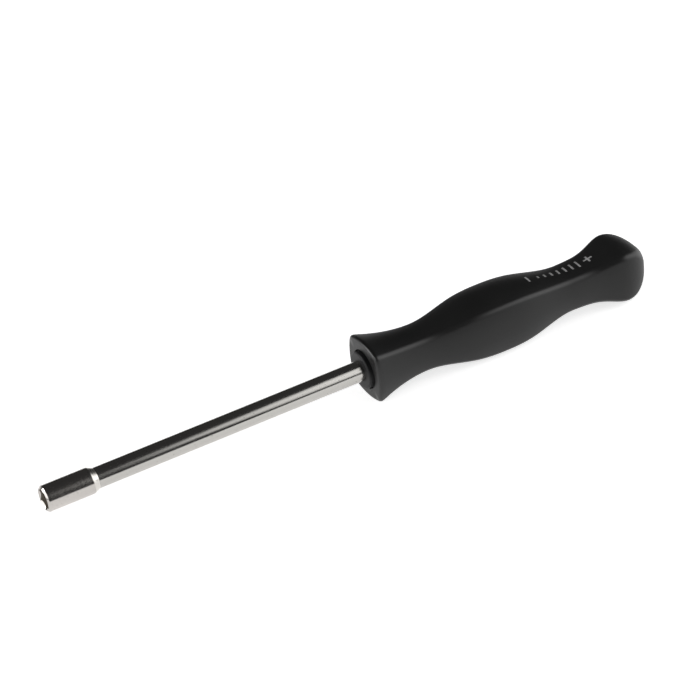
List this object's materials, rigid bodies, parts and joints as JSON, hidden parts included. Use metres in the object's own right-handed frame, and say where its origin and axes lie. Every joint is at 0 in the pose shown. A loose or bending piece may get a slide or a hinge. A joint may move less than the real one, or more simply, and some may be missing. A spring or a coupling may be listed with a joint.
{
  "type": "carburetor adjustment tool",
  "caption": "Slim hand driver with a small hexagon socket on a bright plated bar and a waved black plastic handle, for turning recessed carburetor mixture screws.",
  "frame": {"origin": "centre of the hexagon socket's mouth", "axes": "+X along the bar from the socket's mouth to the handle's end, +Z the handle's upper face, lying level on the handle"},
  "size_m": [0.1895, 0.0178, 0.0178],
  "materials": {
    "socket_plating": "bright nickel plate on turned steel",
    "bar_plating": "bright nickel plate on drawn steel bar",
    "core_plastic": "hard black moulding, satin",
    "grip_plastic": "black moulding, fine satin texture"
  },
  "bodies": {
    "root": {"socket_tip": "socket_plating", "shaft": "bar_plating", "handle_core": "core_plastic", "handle_grip": "grip_plastic"}
  },
  "joints": []
}
